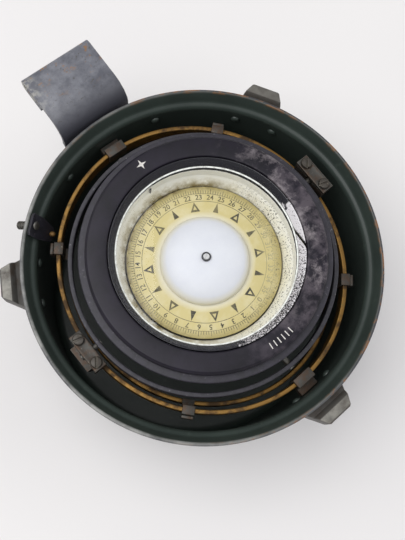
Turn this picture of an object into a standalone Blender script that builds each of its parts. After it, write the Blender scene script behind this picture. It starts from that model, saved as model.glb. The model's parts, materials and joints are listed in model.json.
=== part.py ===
"""Boat compass in a riveted sheet-metal pot, as an assembly of separate pieces.

Metres, +Z up. The origin is the centre of the pot's underside. +X is the outer gimbal
axis (the two bearings on the spring ring), +Y is the inner gimbal axis and the side of
the hanger.
"""
import math

import bmesh
import bpy
from mathutils import Matrix, Vector

# Driving dimensions
CARD_RADIUS = 0.0375
GAP = 0.0003                    # between neighbours that touch on the real object
SHEET = 0.0012                  # pot sheet
POT_RADIUS = 0.0812             # outside of the wall
POT_HEIGHT = 0.100
LIP_RADIUS = 0.0871             # rolled edge of the flared lip
LIP_LOW_RADIUS = 0.0832         # inside of the lip at its lower edge
LIP_LOW_Z = POT_HEIGHT - 0.0050
LIP_SLOPE = math.radians(26)    # the lip's lean from upright
BASE_CORNER = 0.006
PIVOT_Z = POT_HEIGHT - 0.0057   # both gimbal axes cross here
RIVET_Z = POT_HEIGHT - 0.0140

# Spring suspension
UPPER_RING_X = 0.0685           # half axes of the strip's middle line
UPPER_RING_Y = 0.0730
RING_STEP_IN = 0.0045           # the lower ring is this much smaller
RING_STRIP = 0.0022
UPPER_RING_TOP = POT_HEIGHT - 0.0118
UPPER_RING_HEIGHT = 0.009
LOWER_RING_TOP = UPPER_RING_TOP - 0.012
LOWER_RING_HEIGHT = 0.008
CLIP_HALF = 0.0023              # half the outward width of the clips on the rings

# Gimbal and bowl
GIMBAL_OUTER = 0.0650
GIMBAL_INNER = 0.0628
GIMBAL_HEIGHT = 0.007
PIN_RADIUS = 0.0016
PIN_HOLE = 0.0020
BEARING_INNER = GIMBAL_OUTER + 0.0020
BEARING_DEPTH = 0.0062
BEARING_HALF = 0.0098
BEARING_TOP = PIVOT_Z + 0.0027
STRIP_THICK = 0.0020
SCREW_SPACING = 0.0134
FLANGE_RADIUS = 0.0595
FLANGE_TOP = POT_HEIGHT + 0.0096
FLANGE_THICK = 0.0026
BEZEL_OUTER = 0.0562
BEZEL_INNER = 0.0461
BEZEL_TOP = POT_HEIGHT + 0.0150
GLASS_TOP = POT_HEIGHT + 0.0104
GLASS_THICK = 0.0036
GASKET_THICK = 0.0006
BOWL_BORE = 0.0426
BOWL_WALL = 0.0490              # outside, level with the pivots
BOWL_NECK = 0.0381              # bore around the card
BOWL_SHELL = 0.0030
BOWL_DEPTH = 0.0415             # from the pivots down to the bowl's floor
CARD_TOP = POT_HEIGHT - 0.0045
CARD_THICK = 0.0006
FLOAT_RADIUS = 0.0217
FLOAT_TOP = CARD_TOP + 0.0084
NORTH = math.radians(-74)

# Places around the pot
LUG_ANGLES = [math.radians(a) for a in (31.6, 148, 272.3)]
LUG_RIVET_SPREAD = math.radians(7.2)
WALL_CLIPS = {"back": math.radians(88), "front": math.radians(272)}
HANGER_ANGLE = math.radians(88)
HANGER_RIVET_SPREAD = math.radians(19.3)
LEVER_ANGLE = math.radians(130.3)
LEVER_LENGTH = 0.0140           # from the stud down to the foot's end
LEVER_SLOPE = math.radians(31)  # lean from upright; its foot stays clear of the wall

STEPS = 64                      # sides of the large turned pieces
BOWL_STEPS = 48
SMALL_STEPS = 12


def clear_scene():
    for obj in list(bpy.data.objects):
        bpy.data.objects.remove(obj, do_unlink=True)


def material(name, colour, roughness, metallic=0.0):
    made = bpy.data.materials.new(name)
    made.use_nodes = True
    shader = made.node_tree.nodes["Principled BSDF"]
    linear = [channel ** 2.2 for channel in colour]
    shader.inputs["Base Color"].default_value = (*linear, 1.0)
    shader.inputs["Roughness"].default_value = roughness
    shader.inputs["Metallic"].default_value = metallic
    return made


def body(name, location=(0, 0, 0)):
    """Empty on a joint's axis; the pieces of one moving body hang from it."""
    empty = bpy.data.objects.new(name, None)
    empty.location = location
    bpy.context.scene.collection.objects.link(empty)
    return empty


def add_object(name, shape, finish=None, parent=None, sharp=35):
    """Turn a bmesh into an object. Pieces keep world coordinates under their parent."""
    bmesh.ops.recalc_face_normals(shape, faces=shape.faces)
    mesh = bpy.data.meshes.new(name)
    shape.to_mesh(mesh)
    shape.free()
    mesh.shade_smooth()
    mesh.set_sharp_from_angle(angle=math.radians(sharp))
    if finish:
        mesh.materials.append(finish)
    obj = bpy.data.objects.new(name, mesh)
    bpy.context.scene.collection.objects.link(obj)
    if parent:
        obj.parent = parent
        obj.matrix_parent_inverse = Matrix.Translation(parent.location).inverted()
    return obj


def arc(centre, radius, start, end, steps):
    """Points of a circular arc in the profile plane; angles in degrees."""
    points = []
    for i in range(steps + 1):
        angle = math.radians(start + (end - start) * i / steps)
        points.append((centre[0] + radius * math.cos(angle), centre[1] + radius * math.sin(angle)))
    return points


def revolve(profile, steps=STEPS, sweep=2 * math.pi, start=0.0):
    """Solid turned about Z from (radius, height) points.

    A profile that starts and ends at radius 0 closes on the axis, any other one closes on
    itself. A sweep under a full turn gets flat ends.
    """
    full = sweep > 2 * math.pi - 1e-6
    count = steps if full else steps + 1
    shape = bmesh.new()
    rings = []
    for radius, height in profile:
        turns = count if radius > 0 else 1
        ring = []
        for i in range(turns):
            angle = start + sweep * i / steps
            ring.append(shape.verts.new((radius * math.cos(angle), radius * math.sin(angle), height)))
        rings.append(ring)
    pairs = list(zip(rings, rings[1:]))
    if profile[0][0] > 0:
        pairs.append((rings[-1], rings[0]))
    for first, second in pairs:
        for i in range(steps):
            j = (i + 1) % count
            corners = [first[i % len(first)], first[j % len(first)]]
            corners += [second[j % len(second)], second[i % len(second)]]
            corners = list(dict.fromkeys(corners))
            if len(corners) > 2:
                shape.faces.new(corners)
    if not full:
        shape.faces.new([ring[0] for ring in rings])
        shape.faces.new([ring[-1] for ring in rings])
    return shape


def extrude_section(outline, half_width):
    """Solid with an (outward, up) outline in the XZ plane, reaching half_width to each side.

    half_width is a length, or a function of the height.
    """
    shape = bmesh.new()
    sides = []
    for side in (-1, 1):
        ring = []
        for out, up in outline:
            reach = half_width(up) if callable(half_width) else half_width
            ring.append(shape.verts.new((out, side * reach, up)))
        sides.append(ring)
        shape.faces.new(ring)
    for i in range(len(outline)):
        j = (i + 1) % len(outline)
        shape.faces.new((sides[0][i], sides[0][j], sides[1][j], sides[1][i]))
    return shape


def rectangle(out_low, out_high, up_low, up_high):
    return [(out_low, up_low), (out_high, up_low), (out_high, up_high), (out_low, up_high)]


def turn_to(shape, angle, offset=(0, 0, 0)):
    """Shift a shape made along +X, then turn it to its place around the Z axis."""
    move = Matrix.Rotation(angle, 4, "Z") @ Matrix.Translation(offset)
    bmesh.ops.transform(shape, matrix=move, verts=shape.verts)
    return shape


def along_radius(shape, angle, out, up, inward=False):
    """Point a shape turned about Z along the radius at an angle, from a place on it."""
    tilt = Matrix.Rotation(math.radians(-90 if inward else 90), 4, "Y")
    move = Matrix.Rotation(angle, 4, "Z") @ Matrix.Translation((out, 0, up)) @ tilt
    bmesh.ops.transform(shape, matrix=move, verts=shape.verts)
    return shape


def round_corners(points, radii, steps=4):
    """Open path in the profile plane with each inner corner replaced by an arc."""
    path = [Vector(points[0])]
    for before, corner, after, radius in zip(points, points[1:], points[2:], radii):
        corner = Vector(corner)
        to_before = (Vector(before) - corner).normalized()
        to_after = (Vector(after) - corner).normalized()
        half = to_before.angle(to_after) / 2
        centre = corner + (to_before + to_after).normalized() * (radius / math.sin(half))
        first = corner + to_before * (radius / math.tan(half)) - centre
        last = corner + to_after * (radius / math.tan(half)) - centre
        for i in range(steps + 1):
            path.append(centre + first.lerp(last, i / steps).normalized() * radius)
    path.append(Vector(points[-1]))
    return path


def strip_outline(path, thickness):
    """Closed outline of a bent strip around its middle line."""
    left, right = [], []
    for i, point in enumerate(path):
        before = path[max(i - 1, 0)]
        after = path[min(i + 1, len(path) - 1)]
        along = (after - before).normalized()
        across = Vector((-along.y, along.x)) * thickness / 2
        left.append(tuple(point + across))
        right.append(tuple(point - across))
    return left + right[::-1]


def guide(name, shape):
    """Hidden cutter or operand of a Boolean."""
    obj = add_object(name, shape)
    obj.hide_render = True
    obj.display_type = "WIRE"
    return obj


def boolean(obj, tool, operation):
    modifier = obj.modifiers.new(operation.title() + "_" + tool.name, "BOOLEAN")
    modifier.operation = operation
    modifier.solver = "EXACT"
    modifier.object = tool


def cut(obj, tool):
    boolean(obj, tool, "DIFFERENCE")


def weld(obj, tool):
    boolean(obj, tool, "UNION")


def rod_profile(radius, low, high):
    return [(0, low), (radius, low), (radius, high), (0, high)]


def slotted_head(name, head_radius, head_height, shank_radius, shank_length, finish, parent, place):
    """Slotted screw standing on its seat; `place` moves it from the origin to the seat."""
    profile = [(0, -shank_length), (shank_radius, -shank_length), (shank_radius, 0),
               (head_radius, 0), (head_radius, head_height * 0.6),
               (head_radius * 0.86, head_height), (0, head_height)]
    if shank_length == 0:
        profile = profile[3:]
        profile.insert(0, (0, 0))
    head = revolve(profile, SMALL_STEPS + 4)
    slot = extrude_section(rectangle(-2 * head_radius, 2 * head_radius,
                                     head_height * 0.45, head_height * 2), head_radius * 0.16)
    for shape in (head, slot):
        bmesh.ops.transform(shape, matrix=place, verts=shape.verts)
    cut(add_object(name, head, finish, parent), guide(name + "_slot", slot))


# ---------------------------------------------------------------- pot and what is riveted to it

def pot_profile():
    """Inside of the floor, up the wall and over the flared lip, then down the outside."""
    inner = POT_RADIUS - SHEET
    corner = BASE_CORNER - SHEET
    roll = 0.0009
    profile = [(0, SHEET)]
    profile += arc((inner - corner, SHEET + corner), corner, -90, 0, 3)
    profile += [(inner, LIP_LOW_Z - 0.0034), (inner + 0.0008, LIP_LOW_Z - 0.0019)]
    profile += [(LIP_LOW_RADIUS - 0.0006, LIP_LOW_Z - 0.0008), (LIP_LOW_RADIUS, LIP_LOW_Z)]
    profile += arc((LIP_RADIUS - roll, POT_HEIGHT - roll), roll, 154, -40, 3)
    profile += [(LIP_LOW_RADIUS + 0.0010, LIP_LOW_Z - 0.0010)]
    profile += [(LIP_LOW_RADIUS + 0.0001, LIP_LOW_Z - 0.0020)]
    profile += [(POT_RADIUS + 0.0006, LIP_LOW_Z - 0.0030), (POT_RADIUS, LIP_LOW_Z - 0.0042)]
    profile += arc((POT_RADIUS - BASE_CORNER, BASE_CORNER), BASE_CORNER, 0, -90, 3)
    profile += [(0, 0)]
    return profile


def rivet(name, angle, up, grip, finish, parent):
    """Dome rivet with its head on the inside of the wall; returns the cutter of its hole."""
    wall = POT_RADIUS - SHEET
    head = 0.0022
    shank = 0.0008
    dome = [(head * math.cos(math.radians(a)), GAP + 0.0003 + 0.0012 * math.sin(math.radians(a)))
            for a in (0, 30, 60)]
    profile = [(0, -grip), (shank, -grip), (shank, GAP), (head, GAP)] + dome + [(0, GAP + 0.0015)]
    shape = along_radius(revolve(profile, 10), angle, wall, up, inward=True)
    hole = revolve(rod_profile(shank + GAP, -grip - GAP, 0.002), 10)
    add_object(name, shape, finish, parent)
    return guide(name + "_hole", along_radius(hole, angle, wall, up, inward=True))


def lug_shape(angle):
    """Cast lug: curved foot on the wall, arm tapering outward to a raised pad."""
    foot_half = math.radians(10.5)
    foot_out = POT_RADIUS + GAP
    high = POT_HEIGHT - 0.0096
    low = high - 0.0140
    pad = POT_HEIGHT - 0.0056
    sections = [(0.0850, 0.0128, high, low + 0.0010), (0.0872, 0.0116, high - 0.0008, low + 0.0020),
                (0.0898, 0.0103, high + 0.0002, low + 0.0032), (0.0910, 0.0097, pad - 0.0012, low + 0.0040),
                (0.0920, 0.0092, pad, low + 0.0046), (0.0962, 0.0071, pad, low + 0.0070),
                (0.0970, 0.0063, pad - 0.0008, low + 0.0080)]
    columns = [-1, -0.5, 0, 0.5, 1]
    shape = bmesh.new()
    loops = []
    for edge_up in (high, low):
        row = [(foot_out * math.cos(c * foot_half), foot_out * math.sin(c * foot_half), edge_up)
               for c in columns]
        loops.append([row])
    for out, half, top, bottom in sections:
        loops[0].append([(out, c * half, top) for c in columns])
        loops[1].append([(out, c * half, bottom) for c in columns])
    grids = [[[shape.verts.new(point) for point in row] for row in grid] for grid in loops]
    upper, lower = grids
    for grid in grids:
        for near, far in zip(grid, grid[1:]):
            for i in range(len(columns) - 1):
                shape.faces.new((near[i], near[i + 1], far[i + 1], far[i]))
    for i in range(len(columns) - 1):
        for end in (0, -1):
            shape.faces.new((upper[end][i], upper[end][i + 1], lower[end][i + 1], lower[end][i]))
    for k in range(len(upper) - 1):
        for side in (0, -1):
            shape.faces.new((upper[k][side], upper[k + 1][side], lower[k + 1][side], lower[k][side]))
    return turn_to(shape, angle)


def build_lugs(pot, case, finishes):
    for number, angle in enumerate(LUG_ANGLES, 1):
        lug = add_object(f"lug_{number}", lug_shape(angle), finishes["enamel"], case, sharp=25)
        for side, sign in (("left", 1), ("right", -1)):
            name = f"lug_{number}_rivet_{side}"
            where = angle + sign * LUG_RIVET_SPREAD
            hole = rivet(name, where, RIVET_Z, 0.0035, finishes["steel"], case)
            cut(pot, hole)
            cut(lug, hole)


def build_hanger(pot, case, finishes):
    """Bent strap hook over the rim, on a curved foot plate riveted to the wall."""
    plate_inner = POT_RADIUS + GAP
    plate_thick = 0.0020
    plate_half = HANGER_RIVET_SPREAD + math.radians(3)
    section = rectangle(plate_inner, plate_inner + plate_thick, RIVET_Z - 0.0065, RIVET_Z + 0.0038)
    plate = revolve(section, 16, 2 * plate_half, -plate_half)
    top = POT_HEIGHT + 0.0035
    end = 0.1230
    leg = 0.0896
    hook = [(plate_inner + 0.0010, RIVET_Z - 0.0055), (leg, RIVET_Z + 0.0030), (leg, top), (end, top),
            (end, top - 0.0066), (end - 0.0150, top - 0.0066)]
    path = round_corners(hook, [0.0025, 0.0100, 0.0026, 0.0026])
    strap = extrude_section(strip_outline(path, 0.0020), 0.0193)
    hanger = add_object("hanger_hook", turn_to(strap, HANGER_ANGLE), finishes["enamel"], case)
    weld(hanger, guide("hanger_foot", turn_to(plate, HANGER_ANGLE)))
    for side, sign in (("left", 1), ("right", -1)):
        where = HANGER_ANGLE + sign * HANGER_RIVET_SPREAD
        hole = rivet(f"hanger_rivet_{side}", where, RIVET_Z, 0.0026, finishes["steel"], case)
        cut(pot, hole)
        cut(hanger, hole)


def lever_frame():
    """Place and turn of the lock lever: origin on the lip's slope, +Z out along the stud."""
    reach = 0.0024                    # up the slope from the lip's lower edge
    middle = Vector((LIP_LOW_RADIUS + reach * math.sin(LIP_SLOPE), 0,
                     LIP_LOW_Z + reach * math.cos(LIP_SLOPE)))
    up = Vector((math.sin(LEVER_SLOPE), 0, math.cos(LEVER_SLOPE)))
    out = Vector((math.cos(LEVER_SLOPE), 0, -math.sin(LEVER_SLOPE)))
    across = out.cross(up)
    turn = Matrix(((up.x, across.x, out.x, 0), (up.y, across.y, out.y, 0),
                   (up.z, across.z, out.z, 0), (0, 0, 0, 1)))
    return Matrix.Rotation(LEVER_ANGLE, 4, "Z") @ Matrix.Translation(middle) @ turn


def build_lever(pot, lever, finishes):
    """Flat lever on a knurled stud through the lip; its foot pin reaches towards the ring."""
    frame = lever_frame()
    away = -0.0024                    # middle of the lever, inside the lip
    thick = 0.0012
    bore = 0.0016
    wide, narrow = 0.0054, 0.0036
    outline = [(0.0026, -wide), (0.0034, -wide + 0.0012), (0.0034, wide - 0.0012), (0.0026, wide)]
    outline += [(-0.0040, wide), (-LEVER_LENGTH + 0.0014, narrow), (-LEVER_LENGTH, narrow - 0.0014)]
    outline += [(x, -y) for x, y in outline[:3:-1]]
    plate = bmesh.new()
    faces = []
    for side in (away - thick / 2, away + thick / 2):
        faces.append([plate.verts.new((x, y, side)) for x, y in outline])
        plate.faces.new(faces[-1])
    for i in range(len(outline)):
        j = (i + 1) % len(outline)
        plate.faces.new((faces[0][i], faces[0][j], faces[1][j], faces[1][i]))
    bmesh.ops.transform(plate, matrix=frame, verts=plate.verts)
    bar = add_object("lock_lever", plate, finishes["black_steel"], lever)

    head = away - thick / 2 - GAP
    shank = bore - GAP
    profile = [(0, head - 0.0008), (0.0018, head - 0.0005), (0.0021, head), (shank, head),
               (shank, 0.0024), (0.0020, 0.0026), (0.0020, 0.0030), (0.0017, 0.0032),
               (0.0017, 0.0036), (0.0021, 0.0038), (0.0021, 0.0072), (0.0016, 0.0078), (0, 0.0078)]
    stud = revolve(profile, 16)
    hole = revolve(rod_profile(bore, head - 0.001, 0.004), SMALL_STEPS)
    for shape in (stud, hole):
        bmesh.ops.transform(shape, matrix=frame, verts=shape.verts)
    add_object("lever_stud", stud, finishes["steel"], lever)
    tool = guide("lever_stud_hole", hole)
    cut(bar, tool)
    cut(pot, tool)

    foot = Matrix.Translation((-LEVER_LENGTH + 0.0022, 0, 0))
    stem = 0.0008
    pin_line = [(0, head - 0.0022), (0.0009, head - 0.0019), (0.0013, head - 0.0010), (0.0013, head),
                (stem, head), (stem, away + thick / 2), (0, away + thick / 2)]
    pin = revolve(pin_line, SMALL_STEPS)
    pin_hole = revolve(rod_profile(stem + GAP, head - 0.001, away + thick), SMALL_STEPS)
    for shape in (pin, pin_hole):
        bmesh.ops.transform(shape, matrix=frame @ foot, verts=shape.verts)
    add_object("lever_foot_pin", pin, finishes["brass"], lever)
    cut(bar, guide("lever_pin_hole", pin_hole))


# ---------------------------------------------------------------- spring suspension

def oval_ring(half_x, half_y, top, height):
    """Upright strip bent to an oval, RING_STRIP thick."""
    shape = bmesh.new()
    corners = [(-1, top - height), (1, top - height), (1, top), (-1, top)]
    loops = []
    for i in range(STEPS):
        angle = 2 * math.pi * i / STEPS
        normal = Vector((math.cos(angle) / half_x, math.sin(angle) / half_y, 0)).normalized()
        middle = Vector((half_x * math.cos(angle), half_y * math.sin(angle), 0))
        loops.append([shape.verts.new(middle + normal * (side * RING_STRIP / 2) + Vector((0, 0, up)))
                      for side, up in corners])
    for here, following in zip(loops, loops[1:] + loops[:1]):
        for k in range(4):
            m = (k + 1) % 4
            shape.faces.new((here[k], here[m], following[m], following[k]))
    return shape


def ring_place(polar):
    """Place and outward direction of the upper ring's middle line at a polar angle."""
    reach = 1 / math.hypot(math.cos(polar) / UPPER_RING_X, math.sin(polar) / UPPER_RING_Y)
    point = Vector((reach * math.cos(polar), reach * math.sin(polar), 0))
    outward = math.atan2(point.y / UPPER_RING_Y ** 2, point.x / UPPER_RING_X ** 2)
    return point, outward


def build_rings(case, finishes):
    upper = oval_ring(UPPER_RING_X, UPPER_RING_Y, UPPER_RING_TOP, UPPER_RING_HEIGHT)
    add_object("upper_spring_ring", upper, finishes["brass"], case)
    lower = oval_ring(UPPER_RING_X - RING_STEP_IN, UPPER_RING_Y - RING_STEP_IN,
                      LOWER_RING_TOP, LOWER_RING_HEIGHT)
    add_object("lower_spring_ring", lower, finishes["brass"], case)


def build_ring_clips(case, finishes):
    """Four clips that tie the lower ring to the upper one, each with an outer keeper plate."""
    near = RING_STRIP / 2 + GAP
    top = UPPER_RING_TOP + 0.0014
    skirt = UPPER_RING_TOP - 0.0050
    foot = -RING_STEP_IN - near
    clip_line = [(CLIP_HALF, skirt), (CLIP_HALF, top), (-CLIP_HALF, top),
                 (-CLIP_HALF, LOWER_RING_TOP + 0.0014), (foot, LOWER_RING_TOP + 0.0014),
                 (foot, LOWER_RING_TOP + GAP), (-near, LOWER_RING_TOP + GAP),
                 (-near, UPPER_RING_TOP + GAP), (near, UPPER_RING_TOP + GAP), (near, skirt)]
    keeper_line = rectangle(CLIP_HALF + GAP, CLIP_HALF + GAP + 0.0015,
                            UPPER_RING_TOP - 0.0065, UPPER_RING_TOP - 0.0002)
    for number, degrees in enumerate((45, 135.5, 225, 315.5), 1):
        point, outward = ring_place(math.radians(degrees))
        move = Matrix.Translation(point) @ Matrix.Rotation(outward, 4, "Z")
        for name, line, width in (("ring_clip", clip_line, 0.0030), ("clip_keeper", keeper_line, 0.0028)):
            shape = extrude_section(line, width)
            bmesh.ops.transform(shape, matrix=move, verts=shape.verts)
            add_object(f"{name}_{number}", shape, finishes["clip"], case)


def build_wall_clips(case, finishes):
    """Two saddles that hold the upper ring to the wall, about a quarter turn from the bearings."""
    near = RING_STRIP / 2 + GAP
    side_out = CLIP_HALF + 0.0002
    top = UPPER_RING_TOP + 0.0020
    roof = UPPER_RING_TOP + GAP
    foot = UPPER_RING_TOP - UPPER_RING_HEIGHT
    for side, polar in WALL_CLIPS.items():
        point, outward = ring_place(polar)
        wall = POT_RADIUS - SHEET - 0.0006 - point.length
        outline = [(-side_out, foot + 0.0030), (-near, foot + 0.0030), (-near, roof), (near, roof),
                   (near, foot - 0.0010), (wall, foot - 0.0010), (wall, foot + 0.0040),
                   (side_out, foot + 0.0040), (side_out, top), (-side_out, top)]
        shape = extrude_section(outline, 0.0052)
        move = Matrix.Translation(point) @ Matrix.Rotation(outward, 4, "Z")
        bmesh.ops.transform(shape, matrix=move, verts=shape.verts)
        add_object(f"wall_clip_{side}", shape, finishes["clip"], case)


def build_bearings(case, finishes):
    """Bearing stands on the upper ring: saddle, block with an open groove, keeper, screws."""
    inner = BEARING_INNER
    outer = inner + BEARING_DEPTH
    middle = (inner + outer) / 2
    slot_out = UPPER_RING_X + RING_STRIP / 2 + GAP
    saddle_top = UPPER_RING_TOP + 0.0030
    roof = UPPER_RING_TOP + GAP
    skirt = UPPER_RING_TOP - 0.0075
    saddle_line = [(inner + 0.0010, roof), (slot_out, roof), (slot_out, skirt),
                   (slot_out + 0.0040, skirt), (slot_out + 0.0058, saddle_top - 0.0012),
                   (slot_out + 0.0058, saddle_top), (inner + 0.0010, saddle_top)]
    groove_top = BEARING_TOP + 0.0030
    groove_line = arc((0, PIVOT_Z), PIN_HOLE, 180, 360, 8)
    groove_line += [(PIN_HOLE, groove_top), (-PIN_HOLE, groove_top)]
    hole = 0.0014 + GAP
    for side, angle in (("right", 0.0), ("left", math.pi)):
        block = extrude_section(rectangle(inner, outer, saddle_top - 0.0008, BEARING_TOP), BEARING_HALF)
        stand = add_object(f"bearing_stand_{side}", turn_to(block, angle), finishes["clip"], case)
        saddle = extrude_section(saddle_line, 0.0066)
        weld(stand, guide(f"bearing_saddle_{side}", turn_to(saddle, angle)))
        groove = extrude_section(groove_line, 0.0060)
        turn_to(groove, math.pi / 2)
        cut(stand, guide(f"bearing_groove_{side}", turn_to(groove, angle, (middle, 0, 0))))
        low = BEARING_TOP + GAP
        keeper_shape = extrude_section(rectangle(inner - 0.0001, outer + 0.0001, low, low + STRIP_THICK),
                                       BEARING_HALF + 0.0003)
        keeper = add_object(f"bearing_keeper_{side}", turn_to(keeper_shape, angle), finishes["clip"], case)
        for end, sign in (("a", 1), ("b", -1)):
            across = sign * SCREW_SPACING / 2
            name = f"bearing_screw_{side}_{end}"
            bore = turn_to(revolve(rod_profile(hole, BEARING_TOP - 0.0065, low + 0.0040), SMALL_STEPS),
                           angle, (middle, across, 0))
            tool = guide(name + "_hole", bore)
            cut(stand, tool)
            cut(keeper, tool)
            twist = math.radians(35 * sign + 20)
            place = (Matrix.Rotation(angle, 4, "Z")
                     @ Matrix.Translation((middle, across, low + STRIP_THICK + GAP))
                     @ Matrix.Rotation(twist, 4, "Z"))
            slotted_head(name, 0.0028, 0.0016, 0.0014, 0.0075, finishes["screw"], case, place)


# ---------------------------------------------------------------- gimbal ring and bowl

def build_gimbal(gimbal, bowl, finishes):
    half = GIMBAL_HEIGHT / 2
    edge = 0.0006
    profile = [(GIMBAL_INNER, PIVOT_Z - half), (GIMBAL_OUTER, PIVOT_Z - half),
               (GIMBAL_OUTER, PIVOT_Z + half - edge), (GIMBAL_OUTER - edge, PIVOT_Z + half),
               (GIMBAL_INNER + edge, PIVOT_Z + half), (GIMBAL_INNER, PIVOT_Z + half - edge)]
    ring = add_object("gimbal_ring", revolve(profile), finishes["dark_steel"], gimbal)
    for name, angle in (("right", 0), ("back", 90), ("left", 180), ("front", 270)):
        bore = revolve(rod_profile(PIN_HOLE, -0.003, 0.003), SMALL_STEPS)
        where = math.radians(angle)
        middle = (GIMBAL_INNER + GIMBAL_OUTER) / 2
        cut(ring, guide(f"gimbal_bore_{name}", along_radius(bore, where, middle, PIVOT_Z)))
    for name, angle in (("right", 0), ("left", 180)):
        reach = BEARING_INNER + BEARING_DEPTH + 0.0008
        pin = revolve(rod_profile(PIN_RADIUS, GIMBAL_INNER - 0.0004, reach), SMALL_STEPS)
        shape = along_radius(pin, math.radians(angle), 0, PIVOT_Z)
        add_object(f"outer_pivot_pin_{name}", shape, finishes["steel"], gimbal)
    for name, angle in (("back", 90), ("front", 270)):
        pin = revolve(rod_profile(PIN_RADIUS, FLANGE_RADIUS - 0.0044, GIMBAL_OUTER + 0.0006), SMALL_STEPS)
        shape = along_radius(pin, math.radians(angle), 0, PIVOT_Z)
        add_object(f"inner_pivot_pin_{name}", shape, finishes["steel"], bowl)


def build_bowl(bowl, finishes):
    """Liquid bowl: flanged body with pivot bosses, glazed top, diaphragm, ballasted cover."""
    low = FLANGE_TOP - FLANGE_THICK
    floor_z = PIVOT_Z - BOWL_DEPTH
    glass_low = GLASS_TOP - GLASS_THICK
    gasket_low = glass_low - GAP - GASKET_THICK
    seat = gasket_low - GAP
    waist = BOWL_NECK + BOWL_SHELL
    profile = [(0, floor_z + BOWL_SHELL), (0.0260, floor_z + BOWL_SHELL)]
    profile += arc((BOWL_NECK - 0.0120, floor_z + 0.0160), 0.0120, -75, 0, 4)
    profile += [(BOWL_NECK, CARD_TOP - 0.0012), (BOWL_BORE, CARD_TOP + 0.0034), (BOWL_BORE, seat)]
    profile += [(BEZEL_INNER, seat), (BEZEL_INNER, FLANGE_TOP)]
    profile += [(FLANGE_RADIUS - 0.0008, FLANGE_TOP), (FLANGE_RADIUS, FLANGE_TOP - 0.0008)]
    profile += [(FLANGE_RADIUS, low), (BOWL_WALL, low), (BOWL_WALL, PIVOT_Z - 0.0130)]
    profile += [(waist, PIVOT_Z - 0.0200)]
    profile += arc((waist - 0.0130, floor_z + 0.0165), 0.0130, 0, -70, 4)
    profile += [(0.0300, floor_z), (0, floor_z)]
    shell = add_object("bowl_body", revolve(profile, BOWL_STEPS), finishes["bowl"], bowl)
    for name, angle in (("back", 90), ("front", 270)):
        where = math.radians(angle)
        boss = revolve(rod_profile(0.0052, BOWL_WALL - 0.0012, FLANGE_RADIUS - 0.0010), SMALL_STEPS + 4)
        weld(shell, guide(f"pivot_boss_{name}", along_radius(boss, where, 0, PIVOT_Z)))
        bore = revolve(rod_profile(PIN_HOLE, FLANGE_RADIUS - 0.0048, FLANGE_RADIUS + 0.002), SMALL_STEPS)
        cut(shell, guide(f"pivot_bore_{name}", along_radius(bore, where, 0, PIVOT_Z)))

    glass_radius = BEZEL_INNER - GAP
    gasket = rectangle(BOWL_BORE, glass_radius, gasket_low, gasket_low + GASKET_THICK)
    add_object("glass_gasket", revolve(gasket, BOWL_STEPS), finishes["rubber"], bowl)
    glass = rod_profile(glass_radius, glass_low, GLASS_TOP)
    add_object("cover_glass", revolve(glass, BOWL_STEPS), finishes["glass"], bowl)
    build_retaining_ring(bowl, finishes)
    bezel_low = FLANGE_TOP + GAP
    bezel = [(BEZEL_INNER, bezel_low), (BEZEL_OUTER, bezel_low), (BEZEL_OUTER, BEZEL_TOP - 0.0012),
             (BEZEL_OUTER - 0.0010, BEZEL_TOP), (BEZEL_INNER + 0.0005, BEZEL_TOP),
             (BEZEL_INNER, BEZEL_TOP - 0.0005)]
    add_object("bezel", revolve(bezel), finishes["black_enamel"], bowl)
    build_bowl_bottom(bowl, finishes, floor_z)
    place = (Matrix.Rotation(math.radians(45), 4, "Z")
             @ Matrix.Translation((BOWL_WALL + GAP, 0, PIVOT_Z - 0.0080))
             @ Matrix.Rotation(math.radians(90), 4, "Y"))
    slotted_head("filler_plug", 0.0042, 0.0026, 0, 0, finishes["brass"], bowl, place)
    wire = rectangle(BOWL_BORE - GAP - 0.0005, BOWL_BORE - GAP, CARD_TOP + 0.0036, seat - 0.0008)
    lubber = turn_to(extrude_section(wire, 0.0004), math.pi / 2)
    add_object("lubber_line", lubber, finishes["black_enamel"], bowl)


def build_retaining_ring(bowl, finishes):
    """Split ring over the glass, with a sloping face and a slit cut slantwise across it."""
    inner = BOWL_BORE
    outer = BEZEL_INNER - GAP
    low = GLASS_TOP + GAP
    section = [(inner, low), (outer, low), (outer, BEZEL_TOP - 0.0004), (inner + 0.0002, low + 0.0006)]
    slit = 0.0026 / inner
    ring = revolve(section, BOWL_STEPS, 2 * math.pi - slit)
    slant = math.radians(-12)
    for vert in ring.verts:
        reach = math.hypot(vert.co.x, vert.co.y)
        turn = slant * (reach - inner) / (outer - inner) + math.radians(-23) + slit / 2
        vert.co.rotate(Matrix.Rotation(turn, 3, "Z"))
    add_object("retaining_ring", ring, finishes["steel"], bowl)


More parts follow.
